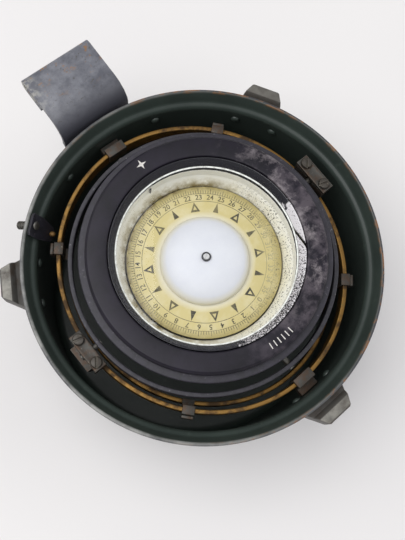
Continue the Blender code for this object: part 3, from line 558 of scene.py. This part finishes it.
def arc(centre, radius, start, end, steps):
    """Points of a circular arc in the profile plane; angles in degrees."""
    angles = [math.radians(start + (end - start) * i / steps) for i in range(steps + 1)]
    return [(centre[0] + radius * math.cos(a), centre[1] + radius * math.sin(a)) for a in angles]


def join(shape, other):
    """Add another bmesh's solid to a shape."""
    mesh = bpy.data.meshes.new("joined")
    other.to_mesh(mesh)
    other.free()
    shape.from_mesh(mesh)
    bpy.data.meshes.remove(mesh)


def plate(outline, low, high):
    """Flat solid from an (x, y) outline."""
    shape = bmesh.new()
    floor = [shape.verts.new((x, y, low)) for x, y in outline]
    roof = [shape.verts.new((x, y, high)) for x, y in outline]
    shape.faces.new(floor[::-1])
    shape.faces.new(roof)
    for i in range(len(outline)):
        j = (i + 1) % len(outline)
        shape.faces.new((floor[i], floor[j], roof[j], roof[i]))
    return shape


def rounded_copy(node, edge_mm, finish=None):
    """The node's own solid with its sharp edges rounded, as a piece that stands for it."""
    flat = math.radians(0.5)
    crease = math.radians(38)
    shape = bmesh.new()
    shape.from_mesh(frame["nodes"][node].data)
    bmesh.ops.remove_doubles(shape, verts=shape.verts, dist=0.004 * MM)
    bmesh.ops.dissolve_limit(shape, angle_limit=flat, verts=shape.verts, edges=shape.edges)
    if edge_mm:
        edges = [e for e in shape.edges if e.is_manifold and e.calc_face_angle(0) > crease]
        bmesh.ops.bevel(shape, geom=edges, offset=edge_mm * MM, segments=2, profile=0.5,
                        affect="EDGES", clamp_overlap=True)
    slot = SLOT_OF[node]
    make_piece(node + "_finish", shape, BODY_OF[node], [finish or FINISHES[slot]], [node], sharp=50)


def build_pot():
    """Spun pot: floor, wall, ledge, flared lip and rolled edge, green inside and grey outside."""
    wall = 81.2 * MM
    sheet = 1.2 * MM
    corner = 6.0 * MM
    roll = 0.9 * MM
    ledge = RIM_Z - 5.0 * MM
    lip_foot = 83.2 * MM
    lip_rise = 1.9                  # height gained over the way out, up the lip
    inside = [(0, sheet), (wall - corner, sheet)]
    inside += arc((wall - corner, corner), corner - sheet, -90, 0, 8)[1:]
    inside += [(wall - sheet, ledge - 3.4 * MM), (wall - sheet + 0.8 * MM, ledge - 1.9 * MM),
               (lip_foot - 0.6 * MM, ledge - 0.8 * MM), (lip_foot, ledge)]
    edge = arc((RIM_RADIUS - roll, RIM_Z - roll), roll, 154, -40, 10)
    outside = [(lip_foot + 1.0 * MM, ledge - 1.0 * MM), (lip_foot + 0.1 * MM, ledge - 2.0 * MM),
               (wall + 0.6 * MM, ledge - 3.0 * MM), (wall, ledge - 4.2 * MM)]
    foot = arc((wall - corner, corner), corner, 0, -90, 8) + [(0, 0)]
    profile = inside[:2] + [Vector(p) for p in inside[2:10]]
    profile += soften([inside[9]] + inside[10:] + [edge[0]], 1.2 * MM, closed=False, steps=4)[1:-1]
    profile += edge
    profile += soften([edge[-1]] + outside + [foot[0]], 1.0 * MM, closed=False, steps=4)[1:-1] + foot
    shape = turned(profile, steps=192)
    for face in shape.faces:
        middle = face.calc_center_median()
        reach = math.hypot(middle.x, middle.y)
        in_wall = reach < wall - 0.5 * MM and middle.z > 0.6 * sheet
        on_lip = middle.z > ledge + (reach - lip_foot) * lip_rise - 0.2 * MM
        face.material_index = 0 if in_wall or on_lip else 1
    make_piece("pot", shape, "case", [FINISHES["pot_enamel"], POT_OUTSIDE],
               ["case_shell"], sharp=50)


def build_spring_ring(name):
    """Upright brass strip bent to an oval, with rounded edges."""
    low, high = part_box(name)
    side = RING_STRIP / 2
    half_x, half_y = high.x - side, high.y - side
    section = soften([(-side, low.z), (side, low.z), (side, high.z), (-side, high.z)], 0.5 * MM)
    shape = bmesh.new()
    loops = []
    for i in range(TURN_STEPS):
        angle = 2 * math.pi * i / TURN_STEPS
        normal = Vector((math.cos(angle) / half_x, math.sin(angle) / half_y, 0)).normalized()
        middle = Vector((half_x * math.cos(angle), half_y * math.sin(angle), 0))
        loops.append([shape.verts.new(middle + normal * out + Vector((0, 0, up)))
                      for out, up in section])
    for here, following in zip(loops, loops[1:] + loops[:1]):
        for k in range(len(section)):
            m = (k + 1) % len(section)
            shape.faces.new((here[k], here[m], following[m], following[k]))
    make_piece(name + "_strip", shape, "case", [FINISHES["ring_brass"]], [name])


def build_gimbal_ring():
    """Plain hoop with rounded edges."""
    low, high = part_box("gimbal_ring")
    inner = high.x - RING_STRIP
    shape = turned(soften([(inner, low.z), (high.x, low.z), (high.x, high.z), (inner, high.z)], 0.5 * MM))
    make_piece("gimbal_hoop", shape, "gimbal", [FINISHES["gimbal_steel"]],
               ["gimbal_ring"])


def build_bezel():
    """Flat bezel with a soft outer corner."""
    low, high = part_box("bezel")
    outer = high.x
    step = 0.5 * MM
    section = [(BEZEL_BORE, low.z), (outer, low.z), (outer, high.z - 1.3 * MM),
               (outer - 1.1 * MM, high.z), (BEZEL_BORE + step, high.z), (BEZEL_BORE, high.z - step)]
    shape = turned(soften(section, 0.35 * MM))
    make_piece("bezel_ring", shape, "bowl", [FINISHES["bezel_enamel"]], ["bezel"],
               sharp=40)


def build_split_ring():
    """Split ring over the glass: a sloping face, a raised outer edge and a slanting slit."""
    low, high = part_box("retaining_ring")
    outer = high.x
    section = [(BORE, low.z), (outer, low.z), (outer, high.z), (outer - 0.5 * MM, high.z),
               (BORE + 0.2 * MM, low.z + 0.6 * MM)]
    slit = 2.6 * MM / BORE
    slit_place = math.radians(-23)
    slant = math.radians(-12)
    shape = turned(soften(section, 0.25 * MM), TURN_STEPS, 2 * math.pi - slit)
    for vert in shape.verts:
        share = (math.hypot(vert.co.x, vert.co.y) - BORE) / (outer - BORE)
        vert.co.rotate(Matrix.Rotation(slant * share + slit_place + slit / 2, 3, "Z"))
    make_piece("split_ring", shape, "bowl", [FINISHES["retaining_metal"]],
               ["retaining_ring"], sharp=45)


def build_bowl():
    """Cast bowl, white inside and black outside, with a cone beside the card and two pivot bosses."""
    floor_z = foot_of("bowl_body")
    shell = 3.0 * MM
    neck, wall = 38.1 * MM, 49.0 * MM
    seat = foot_of("glass_gasket") - NODE_GAP
    flange = outer_radius("bowl_body")
    flange_top = foot_of("bezel") - NODE_GAP
    flange_low = flange_top - 2.6 * MM
    waist = neck + shell
    inside = [(0, floor_z + shell), (26 * MM, floor_z + shell)]
    inside += arc((neck - 12 * MM, floor_z + 16 * MM), 12 * MM, -75, 0, 8)
    cone = [(neck, CARD_TOP - 1.2 * MM), (BORE, CARD_TOP + 3.4 * MM), (BORE, seat), (BEZEL_BORE, seat),
            (BEZEL_BORE, flange_top), (flange, flange_top), (flange, flange_low), (wall, flange_low),
            (wall, PIVOT_Z - 13 * MM), (waist, PIVOT_Z - 20 * MM)]
    outside = arc((waist - 13 * MM, floor_z + 16.5 * MM), 13 * MM, 0, -70, 8)
    outside += [(30 * MM, floor_z), (0, floor_z)]
    profile = [Vector(p) for p in inside[:-1]]
    profile += soften([inside[-1]] + cone + [outside[0]], 0.6 * MM, closed=False) + outside[1:]
    shape = turned(profile)
    boss_radius = 5.2 * MM
    boss_foot, boss_end = wall - 1 * MM, flange - 1 * MM
    for side in (1, -1):
        boss = turned(soften([(0, boss_foot), (boss_radius, boss_foot), (boss_radius, boss_end),
                              (0, boss_end)], 0.5 * MM, closed=False), SMALL_TURN_STEPS)
        place = Matrix.Translation((0, 0, PIVOT_Z)) @ Matrix.Rotation(math.radians(-90 * side), 4, "X")
        bmesh.ops.transform(boss, matrix=place, verts=boss.verts)
        join(shape, boss)
    for face in shape.faces:
        middle = face.calc_center_median()
        reach = math.hypot(middle.x, middle.y)
        inside_face = reach < BORE + 0.5 * MM and middle.z > floor_z + 0.8 * shell
        hidden = reach > neck + 0.2 * MM and middle.z < CARD_TOP - 2.2 * MM
        face.material_index = 1 if inside_face and not hidden else 0
    make_piece("bowl", shape, "bowl", [FINISHES["bowl_enamel"], BOWL_WHITE],
               ["bowl_body"], sharp=40)


def build_card():
    """Card disc and the domed float that carries it."""
    low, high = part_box("compass_card")
    hole = 4.0 * MM
    section = [(hole, low.z), (high.x, low.z), (high.x, high.z), (hole, high.z)]
    make_piece("card_disc", turned(soften(section, 0.15 * MM)), "card",
               [FINISHES["card_enamel"]], ["compass_card"])
    low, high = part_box("card_float")
    crown = 2.4 * MM
    brim = 1.0 * MM
    socket = high.z - 3.2 * MM
    profile = [(0, socket), (2.6 * MM, socket), (2.6 * MM, low.z), (high.x, low.z)]
    dome = high.z - low.z - brim
    steps = 24
    for step in range(steps + 1):
        angle = math.pi / 2 * step / steps
        profile.append((crown + (high.x - crown) * math.cos(angle), low.z + brim + dome * math.sin(angle)))
    profile.append((0, high.z))
    make_piece("float_dome", turned(profile, 96), "card", [FINISHES["float_enamel"]],
               ["card_float"], sharp=60)


def at_angle(shape, angle, radius, height):
    """Turn a flat figure drawn round the origin, its top towards +Y, to stand outward on the dial."""
    place = (Matrix.Rotation(angle, 4, "Z") @ Matrix.Translation((radius, 0, height))
             @ Matrix.Rotation(math.radians(-90), 4, "Z"))
    bmesh.ops.transform(shape, matrix=place, verts=shape.verts)
    return shape


def digits(text, size, thick):
    """Solid digits, centred on the origin."""
    curve = bpy.data.curves.new("digits", "FONT")
    curve.body = text
    curve.size = size
    curve.align_x = "CENTER"
    curve.align_y = "CENTER"
    curve.extrude = thick / 2
    curve.offset = size * 0.012
    source = bpy.data.objects.new("digits", curve)
    bpy.context.scene.collection.objects.link(source)
    bpy.context.view_layer.update()
    evaluated = source.evaluated_get(bpy.context.evaluated_depsgraph_get())
    shape = bmesh.new()
    shape.from_mesh(evaluated.to_mesh())
    evaluated.to_mesh_clear()
    bpy.data.objects.remove(source)
    bpy.data.curves.remove(curve)
    bmesh.ops.translate(shape, vec=(0, 0, thick / 2), verts=shape.verts)
    return shape


def triangle(half_width, foot, tip, low, high, open_share):
    """Dart pointing outward; open_share is the size of the hole in it, 0 for a solid one."""
    outer = [(-half_width, foot), (half_width, foot), (0, tip)]
    if not open_share:
        return plate(outer, low, high)
    middle = 0.36
    centre = Vector((0, foot + (tip - foot) * middle))
    inner = [centre + (Vector(p) - centre) * open_share for p in outer]
    shape = bmesh.new()
    for i in range(3):
        j = (i + 1) % 3
        join(shape, plate([outer[i], outer[j], tuple(inner[j]), tuple(inner[i])], low, high))
    return shape


def build_print():
    """The card's print: sixteen darts, two circles, the degree ticks and tens of degrees."""
    low = CARD_TOP - 0.02 * MM
    high = CARD_TOP + 0.05 * MM
    inner_circle, outer_circle = 30.1 * MM, 34.0 * MM
    shape = bmesh.new()
    for k in range(16):
        large = k % 2 == 0
        half = 2.3 * MM if large else 1.35 * MM
        dart = triangle(half, 24.9 * MM, 29.8 * MM, low, high, 0.42 if large else 0)
        bmesh.ops.transform(dart, verts=dart.verts,
                            matrix=Matrix.Rotation(NORTH - math.radians(22.5 * k + 90), 4, "Z"))
        join(shape, dart)
    for radius, width in ((inner_circle, 0.22 * MM), (outer_circle, 0.16 * MM)):
        ring = [(radius - width / 2, low), (radius + width / 2, low), (radius + width / 2, high),
                (radius - width / 2, high)]
        join(shape, turned(ring, 120))
    for degree in range(0, 360, 2):
        long_tick = degree % 10 == 0
        reach = 36.5 * MM if long_tick else 35.6 * MM
        half = 0.11 * MM
        tick = plate([(-half, outer_circle), (half, outer_circle), (half, reach), (-half, reach)],
                     low, high)
        bmesh.ops.transform(tick, verts=tick.verts,
                            matrix=Matrix.Rotation(NORTH - math.radians(degree + 90), 4, "Z"))
        join(shape, tick)
    figures_radius = 32.0 * MM
    for ten in range(36):
        figure = digits(str(ten), 3.5 * MM, high - low)
        join(shape, at_angle(figure, NORTH - math.radians(10 * ten), figures_radius, low))
    make_piece("card_print", shape, "card", [INK])


def build_bezel_marks():
    """Plain marks cut in the bezel: a four-pointed star and a row of short strokes."""
    top = top_of("bezel")
    low, high = top - 0.1 * MM, top + 0.03 * MM
    star = []
    for k in range(8):
        reach = 2.6 * MM if k % 2 == 0 else 0.8 * MM
        angle = math.pi / 4 * k
        star.append((reach * math.sin(angle), reach * math.cos(angle)))
    shape = at_angle(plate(star, low, high), math.radians(88), MARKS_RADIUS, 0)
    half, tall = 0.22 * MM, 1.5 * MM
    for k in range(6):
        stroke = plate([(-half, -tall), (half, -tall), (half, tall), (-half, tall)], low, high)
        join(shape, at_angle(stroke, math.radians(-96 + 2.6 * k), MARKS_RADIUS, 0))
    make_piece("bezel_marks", shape, "bowl", [ENGRAVED])


def build_stud():
    """Ribbed knob on the lever's stud, outside the pot's lip."""
    joint = next(j for j in frame["joints"] if j["name"] == "lever_swing")
    out = -Vector(joint["axis"]).normalized()
    shank, core, rib = 1.3 * MM, 1.6 * MM, 2.05 * MM
    head = -3.3 * MM
    end = 7.8 * MM
    profile = [(0, head - 0.8 * MM), (1.5 * MM, head - 0.6 * MM), (2.1 * MM, head), (shank, head),
               (shank, 2.4 * MM), (2.0 * MM, 2.5 * MM), (2.0 * MM, 3.0 * MM), (core, 3.2 * MM)]
    for number in range(3):
        start = (3.5 + 1.35 * number) * MM
        profile += [(core, start), (rib, start + 0.25 * MM), (rib, start + 0.85 * MM),
                    (core, start + 1.1 * MM)]
    profile += [(1.2 * MM, end), (0, end)]
    shape = turned(soften(profile, 0.15 * MM, closed=False, steps=2), SMALL_TURN_STEPS)
    place = Matrix.Translation(joint["pos_m"]) @ out.to_track_quat("Z", "Y").to_matrix().to_4x4()
    bmesh.ops.transform(shape, matrix=place, verts=shape.verts)
    make_piece("lever_knob", shape, "lever", [FINISHES["bare_steel"]], ["lever_stud"],
               sharp=50)


def build_cap():
    """Cap of the float: a dark washer and a bright slotted screw in it."""
    low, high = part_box("float_cap")
    outer = high.x
    groove, screw = 0.72 * outer, 0.62 * outer
    washer = [(groove, low.z), (outer, low.z), (outer, low.z + 0.8 * MM), (groove, low.z + 0.8 * MM)]
    make_piece("cap_washer", turned(soften(washer, 0.15 * MM), SMALL_TURN_STEPS), "card",
               [FINISHES["magnet_steel"]])
    slot_half = 0.2 * MM
    slot_angle = math.radians(40)
    edge = math.asin(slot_half / screw)
    halves = bmesh.new()
    steps = 12
    for side in (0, math.pi):
        angles = [side + edge + (math.pi - 2 * edge) * k / steps for k in range(steps + 1)]
        join(halves, plate([(screw * math.cos(a), screw * math.sin(a)) for a in angles], low.z, high.z))
    slot_floor = high.z - 0.6 * MM
    join(halves, turned([(0, low.z), (screw, low.z), (screw, slot_floor), (0, slot_floor)],
                        SMALL_TURN_STEPS))
    bmesh.ops.rotate(halves, matrix=Matrix.Rotation(slot_angle, 3, "Z"), verts=halves.verts)
    make_piece("cap_screw", halves, "card", [NICKEL], ["float_cap"])


def build_glass_bevel():
    """Ground edge of the glass, a bright line inside the split ring."""
    low = top_of("cover_glass")
    high = low + 0.25 * MM
    outer = BORE + 0.1 * MM
    section = [(outer - 0.7 * MM, low), (outer, low), (outer, high), (outer - 0.3 * MM, high)]
    make_piece("glass_bevel", turned(section), "bowl", [GROUND_GLASS])


# Nodes that have a piece of their own above, and the edge radius of the others, by the start of the name
OWN_PIECES = ("case_shell", "upper_spring_ring", "lower_spring_ring", "gimbal_ring", "bezel",
              "retaining_ring", "bowl_body", "compass_card", "card_float", "lever_stud", "float_cap")
EDGE_MM = {"lug": 0.9, "hanger_hook": 0.35, "wall_clip": 0.35, "ring_clip": 0.35, "clip_keeper": 0.3,
           "bearing_stand": 0.35, "bearing_keeper": 0.35, "bearing_screw": 0.2, "lock_lever": 0.25}


def build_fittings():
    """Every other node keeps its own form; edges that show are rounded."""
    for node, made in frame["nodes"].items():
        if node in OWN_PIECES:
            continue
        if node == "cover_glass":
            made.material_slots[0].material = FINISHES["glass"]
            continue
        if "rivet" in node:
            rounded_copy(node, 0, FINISHES["pot_enamel"])
        else:
            rounded_copy(node, next((mm for start, mm in EDGE_MM.items() if node.startswith(start)), 0))


# ---------------------------------------------------------------- stage

def build_stage():
    """Pale table, a bright room and two soft lights, from above and from one side."""
    floor = bpy.data.meshes.new("table")
    half = 3.0
    corners = [(-half, -half, 0), (half, -half, 0), (half, half, 0), (-half, half, 0)]
    floor.from_pydata(corners, [], [(0, 1, 2, 3)])
    floor.materials.append(studio_floor())
    table = bpy.data.objects.new("table", floor)
    table.location.z = -0.05 * MM
    bpy.context.scene.collection.objects.link(table)

    world = bpy.data.worlds.new("soft_room")
    bpy.context.scene.world = world
    world.use_nodes = True
    room = world.node_tree.nodes["Background"].inputs
    room["Color"].default_value = paint("#F4F6FA")
    room["Strength"].default_value = 0.60
    for name, place, size, power in (("ceiling_light", (-0.40, 0.30, 1.4), 1.1, 14.0),
                                     ("side_light", (1.0, -0.6, 1.0), 0.8, 3.0)):
        lamp = bpy.data.lights.new(name, "AREA")
        lamp.size = size
        lamp.energy = power
        light = bpy.data.objects.new(name, lamp)
        light.location = place
        light.rotation_euler = (-Vector(place)).to_track_quat("-Z", "Y").to_euler()
        bpy.context.scene.collection.objects.link(light)


def build_camera():
    """Camera close above the pot, leaning a little from straight down."""
    turn = math.radians(-39.24)     # of the pot, as the camera sees it
    tilt = math.radians(13.43)      # the view leans this far from straight down
    away = 378.8 * MM               # from the middle of the rim
    aside = Vector((-1.4 * MM, -5.4 * MM, 0))
    aside.rotate(Matrix.Rotation(turn, 3, "Z"))
    target = aside + Vector((0, 0, RIM_Z))
    bearing = math.radians(250.08) + turn
    lean = Vector((math.sin(tilt) * math.cos(bearing), math.sin(tilt) * math.sin(bearing),
                   math.cos(tilt)))
    up_angle = math.radians(90) + turn
    forward = -lean
    right = forward.cross(Vector((math.cos(up_angle), math.sin(up_angle), 0))).normalized()
    above = right.cross(forward)
    place = Matrix((right, above, lean)).transposed().to_4x4()
    place.translation = target + lean * away
    lens = bpy.data.cameras.new("camera")
    lens.sensor_width = 36.0
    lens.lens = 160 / 3
    camera = bpy.data.objects.new("camera", lens)
    camera.matrix_world = place
    bpy.context.scene.collection.objects.link(camera)
    bpy.context.scene.camera = camera


bpy.context.scene.view_settings.view_transform = "Standard"
build_pot()
build_spring_ring("upper_spring_ring")
build_spring_ring("lower_spring_ring")
build_gimbal_ring()
build_bowl()
build_bezel()
build_split_ring()
build_card()
build_print()
build_bezel_marks()
build_stud()
build_cap()
build_glass_bevel()
build_fittings()
build_stage()
build_camera()
